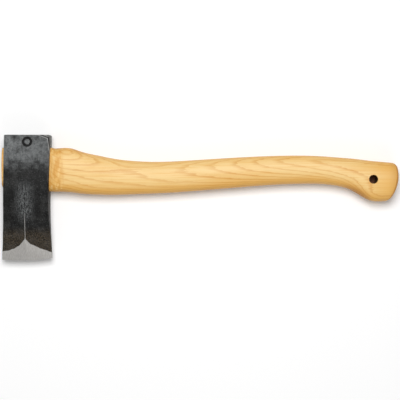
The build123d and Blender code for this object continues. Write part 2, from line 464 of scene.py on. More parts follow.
class Weathering(Effect):
    """Blotches, pits and fine scratches that steel gathers."""

    name = "weathering"
    takes = {
        "Place": ("Vector", None),
        "Blotch Size": ("Float", 6.0 * MM),
        "Scratch Stretch": ("Vector", (1.0, 1.0, 1.0)),
    }
    gives = {
        "Blotch": "Float", "Mottle": "Float", "Pit": "Float", "Scratch": "Float",
        "Speck": "Float",
    }

    def work(self, graph: Graph, inputs: Any) -> dict[str, Socket]:
        """Layers noises from the coarse blotches down to single specks.

        Args:
            graph: The group's own graph.
            inputs: The group's inputs, by name.

        Returns:
            The socket for each output.
        """
        place = inputs["Place"]
        scale = graph.math("DIVIDE", 1.0, inputs["Blotch Size"])
        drawn = graph.node(
            "VectorMath", {0: place, 1: inputs["Scratch Stretch"]}, operation="MULTIPLY")
        return {
            "Blotch": graph.noise(place, scale, 6.0, 0.62),
            "Mottle": graph.noise(place, graph.times(scale, 2.4), 5.0, 0.7),
            "Pit": graph.fade(graph.noise(place, 900.0, 3.0, 0.6), 0.52, 0.70),
            "Scratch": graph.noise(drawn.outputs[0], 1500.0, 3.0, 0.7),
            "Speck": graph.noise(place, 1500.0, 2.0),
        }


# ---------------------------------------------------------------- finishes


class Finish:
    """A procedural material with a Principled shader."""

    name = "finish"
    slot = ""

    def __init__(self) -> None:
        """Makes the material and has its nodes wired."""
        self.material = bpy.data.materials.new(self.name)
        self.material.use_nodes = True
        self.graph = Graph(self.material.node_tree)
        self.shader = self.material.node_tree.nodes["Principled BSDF"]
        self.wire(self.graph)

    def wire(self, graph: Graph) -> None:
        """Wires the material, which each finish does its own way."""
        raise NotImplementedError

    def set(self, **values: Any) -> None:
        """Feeds shader inputs, with underscores for the spaces in their names."""
        for key, value in values.items():
            self.graph.feed(self.shader.inputs[key.replace("_", " ")], value)

    def bump(self, height: Socket, distance: float, strength: float = 1.0) -> None:
        """Joins a height to the shader's normal."""
        inputs = {"Height": height, "Distance": distance, "Strength": strength}
        self.set(Normal=self.graph.node("Bump", inputs).outputs[0])

    def dress(self, piece: bpy.types.Object) -> None:
        """Gives the finish to a piece, in place of any that it has.

        Args:
            piece: The piece to dress.
        """
        piece.data.materials.clear()
        piece.data.materials.append(self.material)


class OiledWood(Finish):
    """Clear oiled ash with its grain along the piece."""

    name = "oiled wood"
    slot = "handle_wood"
    pale: Colour = (0.89, 0.625, 0.268)
    # The warm colour also serves as painted shade on the handle's sides and underside.
    warm: Colour = (0.79, 0.435, 0.100)
    line: Colour = (0.66, 0.290, 0.045)
    end: Colour = (0.50, 0.22, 0.045)
    # Painted shade colour for the inside of the lanyard hole.
    hole_shade: Colour = (0.05, 0.025, 0.015)
    spacing = 1.2 * MM
    slope = 0.030
    shoulder_fades = (36.0 * MM, 43.0 * MM)
    shoulder_fray = 12.0 * MM
    soak_before_hole = 6.0 * MM
    soak_length = 36.0 * MM
    soak_fray = 16.0 * MM
    handled_past_hole = (13.0 * MM, 22.0 * MM)
    hole_shade_rim = 1.12
    grain_depth = 0.06 * MM

    def __init__(self, rings: GrowthRings, hole: tuple[Vector, float]) -> None:
        """Keeps the shared grain and where the lanyard hole is, then wires.

        Args:
            rings: The shared grain.
            hole: The lanyard hole's centre and its radius.
        """
        self.rings = rings
        self.hole = hole
        super().__init__()

    def wire(self, graph: Graph) -> None:
        """Grain, end grain, the shoulder's orange tint, the handled end, painted shade on the
        handle's sides and underside, and painted shade in the lanyard hole.

        Args:
            graph: The material's graph.
        """
        place = graph.place()
        ring, streak, pore, tone = graph.group(
            self.rings.tree, {"Place": place, "Spacing": self.spacing, "Slope": self.slope}
        )
        x, y, _ = graph.parts(place)
        facing_x, facing_y, facing_z = graph.parts(graph.node("TexCoord").outputs["Normal"])
        # Painted shade: faces turned away from straight up are mixed warmer, and their ring lines are
        # drawn stronger.
        turned = graph.fade(graph.math("ABSOLUTE", facing_z), 0.97, 0.50)
        across = graph.fade(graph.math("ABSOLUTE", facing_x), 0.10, 0.50)
        shoulder = graph.fade(
            graph.total(x, graph.times(streak, self.shoulder_fray)),
            *self.shoulder_fades, 0.65, 0.0,
        )
        rays = graph.noise(graph.stretch(place, (430.0, 70.0, 430.0)), 1.0, 2.0)
        drawn = graph.fade(tone, 0.36, 0.64, 0.38, 0.78)
        # Painted shade: faces turned to -Y, the underside away from the key lamp, are mixed warmer.
        belly_shade = graph.fade(facing_y, -0.10, -0.60, 0.0, 0.88)
        centre, radius = self.hole
        soak = centre.x - self.soak_before_hole
        soaked = graph.fade(
            graph.total(x, graph.times(streak, self.soak_fray)),
            soak, soak + self.soak_length, 0.0, 0.85,
        )
        handled = graph.fade(x, *(centre.x + past for past in self.handled_past_hole), 0.0, 0.32)
        colour = graph.mix(graph.fade(tone, 0.38, 0.66, 0.0, 0.45), self.pale, self.warm)
        colour = graph.mix(graph.times(turned, 0.48), colour, self.warm)
        colour = graph.mix(graph.fade(streak, 0.46, 0.66, 0.0, 0.50), colour, self.warm)
        colour = graph.mix(graph.most(shoulder, belly_shade, soaked), colour, self.warm)
        colour = graph.mix(
            graph.times(shoulder, graph.fade(rays, 0.46, 0.60), 0.80), colour, self.line)
        colour = graph.mix(
            graph.times(shoulder, graph.fade(rays, 0.46, 0.34), 1.10), colour, self.pale)
        colour = graph.mix(
            graph.times(ring, graph.total(drawn, graph.times(turned, 0.25))), colour, self.line)
        colour = graph.mix(graph.times(pore, 0.35), colour, self.line)
        colour = graph.mix(graph.most(handled, graph.times(across, 0.80)), colour, self.end)
        # Painted shade: the lanyard hole's wall and rim are darkened as shade inside the hole.
        from_hole = graph.reach(
            graph.math("SUBTRACT", x, centre.x), graph.math("SUBTRACT", y, centre.y))
        hole_shade_share = graph.fade(from_hole, radius, radius * self.hole_shade_rim, 0.85, 0.0)
        colour = graph.mix(hole_shade_share, colour, self.hole_shade)
        rough = graph.total(0.44, graph.times(streak, 0.14), graph.times(across, 0.12))
        self.set(Base_Color=colour, Roughness=rough, Coat_Weight=0.07, Coat_Roughness=0.30)
        self.set(Specular_IOR_Level=0.30)
        height = graph.total(
            graph.times(ring, 0.5), graph.times(streak, 0.4), graph.times(pore, -0.9))
        self.bump(height, self.grain_depth, 0.6)


class WedgeWood(OiledWood):
    """The wedge's darker hardwood, seen on its driven end."""

    name = "wedge wood"
    slot = "wedge_wood"
    pale: Colour = (0.58, 0.36, 0.16)
    warm: Colour = (0.45, 0.25, 0.10)
    line: Colour = (0.30, 0.15, 0.05)
    end: Colour = (0.30, 0.16, 0.06)
    spacing = 1.6 * MM
    slope = 0.3


class ForgedSteel(Finish):
    """Black forging scale, bare where it was ground and where it has come off, with a painted sheen,
    painted highlights and painted shade.
    """

    name = "forged steel"
    slot = "forged_steel"
    scale: Colour = (0.007, 0.007, 0.0068)
    ash: Colour = (0.032, 0.032, 0.031)
    # A pale grey for wear of the scale, also painted as the sheen towards the poll.
    worn: Colour = (0.213, 0.223, 0.225)
    rust: Colour = (0.085, 0.062, 0.036)
    ground: Colour = (0.52, 0.500, 0.475)
    # Bright bare steel, also used as a painted highlight on the crease and on convex edges.
    bright: Colour = (0.66, 0.645, 0.62)
    blotch_size = 7.5 * MM
    bevel_edge = (0.015 * MM, 0.060 * MM)
    bevel_fray = 0.20 * MM
    ridge_sway = 1.6 * MM
    ridge_width = (0.1 * MM, 0.5 * MM)
    ridge_bare = (-42.0 * MM, -53.0 * MM)
    poll_sheen_fades = (6.0 * MM, 27.0 * MM)
    poll_sheen_fray = 24.0 * MM
    poll_dims = (-4.0 * MM, 16.0 * MM)
    scuff_middle = -33.0 * MM
    scuff_length = (8.0 * MM, 24.0 * MM)
    scuff_width = (1.0 * MM, 12.0 * MM)
    stain_fades = (-56.0 * MM, -67.0 * MM)
    mark_grime = (0.8 * MM, 1.7 * MM)
    dent_darkening_reach = (0.2, 0.8)
    dent_darkening = 1.4
    lip_rises = (8.0 * MM, 9.5 * MM)
    skin_depth = 0.35 * MM

    def __init__(self, weathering: Weathering, head: HeadSizes) -> None:
        """Keeps the shared weathering and the head's sizes, then wires.

        Args:
            weathering: The shared weathering.
            head: The sizes that place the bevels, the mark, the dents and the rolls.
        """
        self.weathering = weathering
        self.head = head
        super().__init__()

    def above_bevel(self, graph: Graph, x: Socket, y: Socket, z: Socket) -> Socket:
        """How far a place lies inside the ground bevels, 0 on them.

        Args:
            graph: The material's graph.
            x: The place along the handle.
            y: The place along the head.
            z: The height.

        Returns:
            The depth of the place below the bevel's cone.
        """
        head = self.head
        centre = head.lens_centre
        reach = graph.reach(
            graph.math("SUBTRACT", x, centre.x), graph.math("SUBTRACT", y, centre.y))
        drop = graph.math("SUBTRACT", head.edge_radius, reach)
        cone = graph.math("MULTIPLY_ADD", drop, math.tan(head.bevel_angle), head.edge_land / 2)
        return graph.math("SUBTRACT", cone, graph.off(z, centre.z))

    def darkening(self, graph: Graph, place: Socket) -> Socket:
        """Dark dirt in the round mark, and darker colour in the dents.

        Args:
            graph: The material's graph.
            place: The piece's own coordinates.

        Returns:
            How dark a place is made, from 0 to 1.
        """
        head = self.head
        rim = graph.off(graph.distance(place, head.mark_place), head.mark_radius)
        darkening = graph.fade(rim, *self.mark_grime, 0.95, 0.0)
        x, y, z = graph.parts(place)
        upper = graph.fade(z, head.middle, head.middle + self.lip_rises[0])
        # Darker colour in the dents on the upper cheek.
        for dent_x, dent_y, depth, reach in head.dents:
            away = graph.reach(
                graph.math("SUBTRACT", x, dent_x * MM), graph.math("SUBTRACT", y, dent_y * MM))
            dent = graph.fade(
                away, *(share * reach * MM for share in self.dent_darkening_reach), self.dent_darkening * depth, 0.0)
            darkening = graph.most(darkening, graph.times(dent, upper))
        return darkening

    def lip(self, graph: Graph, x: Socket, y: Socket, z: Socket) -> tuple[Socket, Socket]:
        """Painted shade and highlight along the rolled corner's crease.

        Args:
            graph: The material's graph.
            x: The place along the handle.
            y: The place along the head.
            z: The height.

        Returns:
            The masks of the painted shade line below the crease and of the painted highlight line on
            it.
        """
        upper = graph.fade(z, *(self.head.middle + rise for rise in self.lip_rises))
        sides = []
        for x0, y0, x1, y1, _ in self.head.rolls:
            out = Vector((y0 - y1, x1 - x0)).normalized()
            along = graph.total(
                graph.times(x, out.x), graph.times(y, out.y), -(x0 * out.x + y0 * out.y) * MM)
            sides.append(along)
        outside = graph.most(*sides)
        # Painted shade line just outside the crease, and painted highlight line on it.
        crease_shade = graph.fade(graph.off(outside, 0.60 * MM), 0.25 * MM, 0.75 * MM, 0.95, 0.0)
        light = graph.fade(graph.off(outside, -0.35 * MM), 0.05 * MM, 0.45 * MM, 0.45, 0.0)
        return graph.times(crease_shade, upper), graph.times(light, upper)

    def wire(self, graph: Graph) -> None:
        """Scale, its zones of wear and rust, a painted sheen towards the poll, painted shade and
        highlight at the rolled corner, the bare ridge and the ground bevels.

        Args:
            graph: The material's graph.
        """
        place = graph.place()
        blotch, mottle, pit, scratch, speck = graph.group(
            self.weathering.tree,
            {"Place": place, "Blotch Size": self.blotch_size, "Scratch Stretch": (1.0, 0.06, 1.0)},
        )
        x, y, z = graph.parts(place)
        gap = self.above_bevel(graph, x, y, z)
        ragged = graph.times(graph.math("SUBTRACT", mottle, 0.64), self.bevel_fray)
        bare = graph.fade(graph.total(gap, ragged), *self.bevel_edge, 1.0, 0.0)

        sway = graph.times(graph.math("SUBTRACT", mottle, 0.5), self.ridge_sway)
        from_ridge = graph.off(graph.total(x, sway), self.head.ridge_x)
        # Painted sheen: the cheek towards the poll is made lighter as a reflection of the key lamp,
        # in patches and streaks that are partly real wear of the scale.
        poll = graph.fade(graph.total(y, graph.times(blotch, self.poll_sheen_fray)), *self.poll_sheen_fades)
        cloud = graph.total(graph.times(blotch, 0.55), graph.times(mottle, 0.45))
        patch = graph.fade(cloud, 0.38, 0.56, 0.42, 1.0)
        streaky = graph.fade(scratch, 0.34, 0.62, 0.65, 1.0)
        dimmed = graph.fade(x, *self.poll_dims, 1.0, 0.84)
        scuff = graph.times(
            graph.fade(from_ridge, *self.scuff_width, 1.0, 0.0),
            graph.fade(graph.off(y, self.scuff_middle), *self.scuff_length, 1.0, 0.0),
            graph.fade(graph.total(graph.times(scratch, 0.5), graph.times(speck, 0.5)), 0.44, 0.57),
        )
        ridge = graph.times(
            graph.fade(from_ridge, *self.ridge_width, 1.0, 0.0),
            graph.fade(y, *self.ridge_bare),
            graph.fade(scratch, 0.30, 0.50, 0.5, 1.0),
        )
        stain = graph.times(graph.fade(y, *self.stain_fades), graph.fade(speck, 0.44, 0.56))
        # Convex edges: partly wear of the scale, partly a painted highlight along them.
        edge = graph.node("Attribute", attribute_name="worn").outputs["Fac"]
        rubbed_and_glint = graph.times(graph.fade(edge, 0.15, 0.75), graph.fade(blotch, 0.35, 0.60))

        colour = graph.mix(graph.fade(blotch, 0.42, 0.66, 0.0, 0.75), self.scale, self.ash)
        grainy = graph.fade(speck, 0.40, 0.60, 0.74, 1.0)
        # Painted sheen towards the poll, partly wear of the scale.
        colour = graph.mix(graph.times(poll, patch, streaky, grainy, dimmed), colour, self.worn)
        colour = graph.mix(graph.times(scuff, 0.60), colour, self.worn)
        colour = graph.mix(graph.times(stain, 0.75), colour, self.rust)
        colour = graph.mix(graph.fade(speck, 0.58, 0.72, 0.0, 0.38), colour, self.worn)
        colour = graph.mix(graph.times(pit, 0.5), colour, self.scale)
        colour = graph.mix(graph.times(rubbed_and_glint, 0.45), colour, self.bright)
        colour = graph.mix(graph.times(ridge, 0.45), colour, self.bright)
        # Painted highlight on the rolled corner's crease and a painted shade line beside it, mixed in
        # below.
        crease_shade, light = self.lip(graph, x, y, z)
        colour = graph.mix(light, colour, self.bright)
        colour = graph.mix(graph.most(crease_shade, self.darkening(graph, place)), colour, self.scale)
        steel = graph.mix(graph.fade(scratch, 0.35, 0.70), self.ground, self.bright)
        steel = graph.mix(graph.fade(gap, 0.0, 0.02 * MM, 0.0, 0.2), steel, self.worn)
        colour = graph.mix(bare, colour, steel)

        metal = graph.most(bare, graph.times(ridge, 0.5), graph.times(rubbed_and_glint, 0.6))
        scale_rough = graph.fade(blotch, 0.35, 0.70, 0.42, 0.62)
        rough = graph.fade(metal, 0.0, 1.0, scale_rough, 0.44)
        self.set(Base_Color=colour, Roughness=rough, Metallic=graph.times(metal, 0.85))
        self.set(Specular_IOR_Level=0.12)
        height = graph.total(
            graph.times(blotch, graph.fade(bare, 0.0, 1.0, 1.0, 0.0)),
            graph.times(pit, graph.fade(bare, 0.0, 1.0, -0.45, 0.0)),
            graph.times(scratch, 0.10),
        )
        self.bump(height, self.skin_depth, 0.8)


class RingSteel(Finish):
    """Plain steel of the ring wedge, dull from the hammer."""

    name = "ring steel"
    slot = "ring_steel"
    plain: Colour = (0.34, 0.335, 0.325)
    dull: Colour = (0.17, 0.165, 0.155)
    blotch_size = 3.0 * MM
    pit_depth = 0.1 * MM

    def __init__(self, weathering: Weathering) -> None:
        """Keeps the shared weathering, then wires.

        Args:
            weathering: The shared weathering.
        """
        self.weathering = weathering
        super().__init__()

    def wire(self, graph: Graph) -> None:
        """Blotched plain steel with hammer pits.

        Args:
            graph: The material's graph.
        """
        blotch, _, pit, scratch, _ = graph.group(
            self.weathering.tree,
            {"Place": graph.place(), "Blotch Size": self.blotch_size},
        )
        colour = graph.mix(graph.fade(blotch, 0.4, 0.65), self.plain, self.dull)
        colour = graph.mix(graph.times(pit, 0.5), colour, self.dull)
        rough = graph.fade(scratch, 0.3, 0.7, 0.34, 0.52)
        self.set(Base_Color=colour, Metallic=0.9, Roughness=rough)
        self.bump(graph.total(blotch, graph.times(pit, -0.5)), self.pit_depth, 0.7)


# ---------------------------------------------------------------- head


@dataclass(frozen=True)
class ForgeRow:
    """One row of the forging, in millimetres from the centre of the eye.

    ridge, flank and side are half thicknesses: on the ridge, beside it and at the sides.
    corner is how far the rounded corners reach in, and thin is the share of the side's
    thickness that is left towards the handle.
    """

    y: float
    left: float
    right: float
    ridge: float
    flank: float
    side: float
    corner: float
    thin: float = 1.0
    ridge_power: ClassVar[int] = 7

    def cheek(self, share: float) -> float:
        """The half thickness at a share of the way from the ridge to a side."""
        slope = self.side + (self.flank - self.side) * (1 - share)
        return slope + (self.ridge - self.flank) * (1 - share) ** self.ridge_power


@dataclass(frozen=True)
class HeadSizes:
    """The head's sizes that its shape and its finish share, in metres.

    Each dent is its place along X and Y, its depth and its reach, in millimetres. Each
    roll is a facet that strikes have turned over at the poll's corner: where its crease
    starts and ends along X and Y, in millimetres, and its slope in degrees.
    """

    middle: float
    ridge_x: float = -2.3 * MM
    edge_y: float = -89.9 * MM
    edge_lean: float = 6.6 * MM
    edge_radius: float = 210.0 * MM
    bevel_angle: float = math.radians(14.0)
    edge_land: float = 0.3 * MM
    mark_spot: tuple[float, float, float] = (0.3 * MM, 24.4 * MM, 12.2 * MM)
    mark_radius: float = 3.8 * MM
    dents: tuple[tuple[float, float, float, float], ...] = (
        (-12.2, 28.6, 0.50, 3.2), (13.6, 20.5, 0.35, 3.4), (-17.5, 12.0, 0.22, 4.5),
        (8.5, 27.6, 0.25, 3.0), (-9.0, 19.5, 0.20, 3.5),
    )
    rolls: tuple[tuple[float, float, float, float, float], ...] = (
        (12.0, 30.9, 20.6, 27.6, 34.0), (19.9, 29.5, 22.0, 15.5, 42.0),
    )

    @property
    def mark_place(self) -> Vector:
        """The centre of the round punch mark on the upper cheek."""
        return Vector(self.mark_spot) + Vector((0, 0, self.middle))

    @property
    def lens_centre(self) -> Vector:
        """The axis of the two ground bevels, at the middle height."""
        return Vector((-self.edge_lean, self.edge_y + self.edge_radius, self.middle))


@dataclass
class AxeHead:
    """The forged head: blank, ground bevels, eye, and the marks of its making.

    eye_depth, eye_width and eye_sides go from the driven side to the handle's side.
    columns are shares of the way from the ridge to a side, and level is the share of
    the half thickness at which the corners start. Each skin is a name, the size of its
    bumps and their depth. sharp and full_wear are angles between faces, in degrees.
    """

    sizes: HeadSizes
    finish: Finish
    row_count: int = 17
    poll_round: float = 1.3 * MM
    overrun: float = 4.0 * MM
    eye_depth: tuple[float, float] = (38.0 * MM, 36.0 * MM)
    eye_width: tuple[float, float] = (18.0 * MM, 16.4 * MM)
    eye_sides: tuple[float, float] = (-22.55 * MM, 21.55 * MM)
    eye_fullness: float = 0.66
    rim_break: float = 0.8 * MM
    groove_radius: float = 1.25 * MM
    roll_block: float = 30.0 * MM
    ridge_start: float = -20.0 * MM
    ridge_crease: float = 0.85
    skins: tuple[tuple[str, float, float], ...] = (
        ("hammer", 11.0 * MM, 0.30 * MM), ("skin", 2.6 * MM, 0.09 * MM),
    )
    skin_level: float = 0.7
    lens_facets: int = 900
    eye_facets: int = 24
    mark_facets: tuple[int, int] = (64, 16)
    sharp: float = 24.0
    full_wear: float = 40.0
    columns: tuple[float, ...] = (0.0, 0.12, 0.28, 0.5, 0.88)
    level: float = 0.75
    corner_limit: float = 0.45
    keys: tuple[ForgeRow, ...] = (
        ForgeRow(-93.0, 25.1, 23.9, 2.75, 2.05, 1.05, 0.5, 0.74),
        ForgeRow(-89.9, 25.0, 23.8, 3.10, 2.40, 1.35, 0.6, 0.75),
        ForgeRow(-68.9, 24.1, 22.5, 5.45, 4.90, 3.45, 0.9, 0.89),
        ForgeRow(-51.0, 23.5, 21.4, 8.70, 8.00, 7.05, 1.5, 0.98),
        ForgeRow(-35.1, 23.1, 20.8, 11.80, 11.35, 10.70, 2.2),
        ForgeRow(-22.0, 22.9, 20.85, 13.80, 13.75, 13.55, 2.8),
        ForgeRow(-11.0, 22.7, 21.15, 13.88, 13.88, 13.85, 3.0),
        ForgeRow(0.0, 22.5, 21.6, 13.88, 13.88, 13.85, 3.0),
        ForgeRow(9.0, 22.45, 21.8, 13.85, 13.85, 13.75, 3.0),
        ForgeRow(17.2, 22.3, 21.95, 13.25, 13.25, 13.05, 3.0),
        ForgeRow(31.3, 22.2, 22.2, 11.2, 11.2, 11.0, 3.0),
    )

    def rows(self) -> list[ForgeRow]:
        """Evenly spaced rows on the smooth curves through the key rows.

        Returns:
            The rows from the edge to the poll, with one more where the poll's rim starts.
        """
        names = ("left", "right", "ridge", "flank", "side", "corner", "thin")
        curves = [fair([(key.y, getattr(key, name)) for key in self.keys]) for name in names]
        low, high = self.keys[0].y, self.keys[-1].y
        step = (high - low) / (self.row_count - 1)
        places = [low + step * index for index in range(self.row_count)]
        places.insert(-1, high - self.poll_round / MM)
        return [ForgeRow(place, *(curve(place) for curve in curves)) for place in places]

    def blank(self) -> bpy.types.Object:
        """The forging as a cage of rows and columns, before it is smoothed.

        Returns:
            The cage.
        """
        rows = self.rows()
        low, high = rows[0].y * MM, rows[-1].y * MM
        middle = Vector((self.sizes.ridge_x, (low + high) / 2, self.sizes.middle))
        Bench.clear()
        bpy.ops.mesh.primitive_cube_add(size=2, location=middle, scale=(1, (high - low) / 2, 1))
        blank = Bench.added("axe_head_forged")
        Bench.edit(blank)
        for row in rows[1:-1]:
            Bench.slice(Vector((0, row.y * MM, 0)), Vector((0, 1, 0)))
        for column in {side * column for column in self.columns for side in (-1, 1)}:
            Bench.slice(middle + Vector((column, 0, 0)), Vector((1, 0, 0)))
        for level in (-self.level, 0.0, self.level):
            Bench.slice(middle + Vector((0, 0, level)), Vector((0, 0, 1)))
        for row in rows:
            self.shape(blank, row)
        Bench.select(blank, lambda co: abs(co.x - middle.x) < TOUCH and co.y < self.ridge_start)
        bpy.ops.transform.edge_crease(value=self.ridge_crease)
        Bench.close()
        return blank

    def shape(self, blank: bpy.types.Object, row: ForgeRow) -> None:
        """Squeezes one row of the two-metre wide cage to its size.

        Args:
            blank: The cage, open in edit mode.
            row: The row's sizes.
        """
        centre = Vector((self.sizes.ridge_x, row.y * MM, self.sizes.middle))
        left = row.left * MM + centre.x
        right = row.right * MM - centre.x
        side, corner = row.side * MM, row.corner * MM
        rim, near = self.columns[-1], 0.05

        def squeeze(rule: Callable[[float, float], bool], across: float, up: float) -> None:
            """Scales what the rule selects of this row about its centre.

            Args:
                rule: Says of a place from the row's centre whether it is scaled.
                across: The scale along X.
                up: The scale along Z.
            """
            Bench.select(
                blank,
                lambda co: abs(co.y - centre.y) < TOUCH and rule(co.x - centre.x, co.z - centre.z),
            )
            bpy.ops.transform.resize(value=(across, 1, up), center_override=centre)

        for column in self.columns[:-1]:
            squeeze(lambda x, z: abs(abs(x) - column) < TOUCH, 1, row.cheek(column) * MM / side)
        corner_share = min(corner / side, self.corner_limit)
        squeeze(lambda x, z: abs(abs(z) - self.level) < near, 1, (1 - corner_share) / self.level)
        squeeze(lambda x, z: True, 1, side)
        squeeze(lambda x, z: x > rim - near, 1, row.thin)
        squeeze(lambda x, z: abs(x + rim) < near, (1 - corner / left) / rim, 1)
        squeeze(lambda x, z: abs(x - rim) < near, (1 - corner / right) / rim, 1)
        squeeze(lambda x, z: x < -TOUCH, left, 1)
        squeeze(lambda x, z: x > TOUCH, right, 1)

    def roughen(self, blank: bpy.types.Object) -> None:
        """The uneven skin that hammer and scale leave.

        Args:
            blank: The smoothed forging.
        """
        for name, size, depth in self.skins:
            texture = bpy.data.textures.new(name, "CLOUDS")
            texture.noise_scale = size
            texture.noise_depth = 2
            Bench.finish(
                blank, "DISPLACE", texture=texture, texture_coords="LOCAL",
                strength=depth, mid_level=self.skin_level,
            )

    def dent(self, blank: bpy.types.Object) -> None:
        """Dents on the upper cheek, each pushed in round one point.

        Args:
            blank: The roughened forging.
        """
        Bench.edit(blank)
        for x, y, depth, reach in self.sizes.dents:
            spot = Vector((x * MM, y * MM, 0))
            mesh = bmesh.from_edit_mesh(blank.data)
            upper = [v for v in mesh.verts if v.co.z > self.sizes.middle]
            nearest = min(upper, key=lambda v: (v.co.xy - spot.xy).length)
            place = nearest.co.copy()
            Bench.select(blank, lambda co: (co - place).length < TOUCH)
            bpy.ops.transform.translate(
                value=(0, 0, -depth * MM), use_proportional_edit=True,
                proportional_edit_falloff="SMOOTH", proportional_size=reach * MM,
            )
        Bench.close()

    def half_height(self, y: float) -> float:
        """The half thickness beside the ridge at a place along Y, in metres."""
        return fair([(key.y, key.flank) for key in self.keys])(y / MM) * MM

    def roll_tools(self) -> list[bpy.types.Object]:
        """Blocks that lie on the facets of the rolled corner at the poll.

        Returns:
            One block for each facet, to cut away.
        """
        tools = []
        for x0, y0, x1, y1, slope in self.sizes.rolls:
            start = Vector((x0 * MM, y0 * MM, self.sizes.middle + self.half_height(y0 * MM)))
            end = Vector((x1 * MM, y1 * MM, self.sizes.middle + self.half_height(y1 * MM)))
            along = (end - start).normalized()
            out = Vector((y0 - y1, x1 - x0, 0)).normalized()
            up = along.cross(out - Vector((0, 0, math.tan(math.radians(slope))))).normalized()
            turn = Matrix((along, up.cross(along), up)).transposed().to_euler()
            place = (start + end) / 2 + up * self.roll_block / 2
            Bench.clear()
            bpy.ops.mesh.primitive_cube_add(size=self.roll_block, location=place, rotation=turn)
            tools.append(Bench.added("roll_block"))
        return tools

    def lens(self) -> bpy.types.Object:
        """The space between the two ground bevels: cones base to base on a thin rim.

        Returns:
            The body to keep the inside of.
        """
        sizes = self.sizes
        Bench.clear()
        bpy.ops.mesh.primitive_cylinder_add(
            vertices=self.lens_facets, radius=sizes.edge_radius, depth=sizes.edge_land,
            location=sizes.lens_centre,
        )
        lens = Bench.added("bevel_lens")
        rise = sizes.edge_radius * math.tan(sizes.bevel_angle)
        Bench.edit(lens)
        for side in (1, -1):
            rim = sizes.lens_centre.z + side * sizes.edge_land / 2
            Bench.select(lens, lambda co: abs(co.z - rim) < TOUCH)
            bpy.ops.mesh.extrude_region_move(TRANSFORM_OT_translate={"value": (0, 0, side * rise)})
            bpy.ops.mesh.merge(type="CENTER")
        bpy.ops.mesh.select_all(action="SELECT")
        bpy.ops.mesh.normals_make_consistent(inside=False)
        Bench.close()
        return lens

    def eye_tool(self) -> bpy.types.Object:
        """The drift that opens the eye, flared where it breaks the rims.

        Returns:
            The body to cut away.
        """
        left, right = self.eye_sides
        deep, shallow = self.eye_depth
        wide, narrow = self.eye_width
        Bench.clear()
        bpy.ops.curve.primitive_bezier_circle_add(
            radius=1, location=(0, 0, 0), rotation=(0, math.pi / 2, 0)
        )
        oval = bpy.context.active_object
        points = oval.data.splines[0].bezier_points
        oval.data.resolution_u = self.eye_facets
        ratio = self.eye_fullness / ROUND
        for point in points:
            point.handle_left_type = point.handle_right_type = "FREE"
            point.handle_left = point.co + (point.handle_left - point.co) * ratio
            point.handle_right = point.co + (point.handle_right - point.co) * ratio
        bpy.ops.object.convert(target="MESH")
        tool = Bench.added("eye_drift")
        stations = (
            (left - self.overrun, deep + 2 * self.rim_break, wide + 2 * self.rim_break),
            (left, deep + 2 * self.rim_break, wide + 2 * self.rim_break),
            (left + self.rim_break, deep, wide),
            (right - self.rim_break, shallow, narrow),
            (right, shallow + 2 * self.rim_break, narrow + 2 * self.rim_break),
            (right + self.overrun, shallow + 2 * self.rim_break, narrow + 2 * self.rim_break),
        )
        middle = self.sizes.middle
        Bench.edit(tool)
        bpy.ops.mesh.select_all(action="SELECT")
        bpy.ops.mesh.remove_doubles(threshold=TOUCH)
        bpy.ops.mesh.edge_face_add()
        x, depth, width = stations[0]
        bpy.ops.transform.resize(value=(1, depth / 2, width / 2), center_override=(0, 0, 0))
        bpy.ops.transform.translate(value=(x, 0, middle))
        for next_x, next_depth, next_width in stations[1:]:
            bpy.ops.mesh.extrude_region_move(TRANSFORM_OT_translate={"value": (next_x - x, 0, 0)})
            bpy.ops.transform.resize(
                value=(1, next_depth / depth, next_width / width), center_override=(next_x, 0, middle)
            )
            x, depth, width = next_x, next_depth, next_width
        bpy.ops.mesh.select_all(action="SELECT")
        bpy.ops.mesh.normals_make_consistent(inside=False)
        Bench.close()
        return tool

    def mark_tool(self) -> bpy.types.Object:
        """A plain round punch, tilted to the slope of the cheek near the poll.

        Returns:
            The body to cut away.
        """
        place = self.sizes.mark_place
        rise = self.half_height(place.y + MM) - self.half_height(place.y - MM)
        Bench.clear()
        bpy.ops.mesh.primitive_torus_add(
            location=place, rotation=(math.atan(rise / (2 * MM)), 0, 0),
            major_radius=self.sizes.mark_radius, minor_radius=self.groove_radius,
            major_segments=self.mark_facets[0], minor_segments=self.mark_facets[1],
        )
        return Bench.added("round_punch")

    def wear(self, piece: bpy.types.Object) -> None:
        """Writes how far each vertex stands out on a convex edge, for edge wear and a painted
        highlight along convex edges.

        Args:
            piece: The finished head, which gets the attribute.
        """
        mesh = bmesh.new()
        mesh.from_mesh(piece.data)
        mesh.normal_update()
        values = []
        for vertex in mesh.verts:
            angles = [edge.calc_face_angle_signed(0.0) for edge in vertex.link_edges]
            share = max(angles, default=0.0) / math.radians(self.full_wear)
            values.append(min(max(share, 0.0), 1.0))
        mesh.free()
        attribute = piece.data.attributes.new("worn", "FLOAT", "POINT")
        attribute.data.foreach_set("value", values)

    def build(self) -> bpy.types.Object:
        """Forges, grinds, pierces and marks the head.

        Returns:
            The finished piece.
        """
        head = self.blank()
        Bench.finish(head, "SUBSURF", levels=3, render_levels=3)
        self.roughen(head)
        self.dent(head)
        for block in self.roll_tools():
            Bench.cut(head, block, Cut.TAKE_AWAY)
        Bench.cut(head, self.lens(), Cut.KEEP_INSIDE)
        Bench.cut(head, self.eye_tool(), Cut.TAKE_AWAY)
        Bench.cut(head, self.mark_tool(), Cut.TAKE_AWAY)
        Bench.smooth(head, self.sharp)
        self.wear(head)
        self.finish.dress(head)
        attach(head, BODY)
        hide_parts("axe_head")
        return head


# ---------------------------------------------------------------- handle and wedges


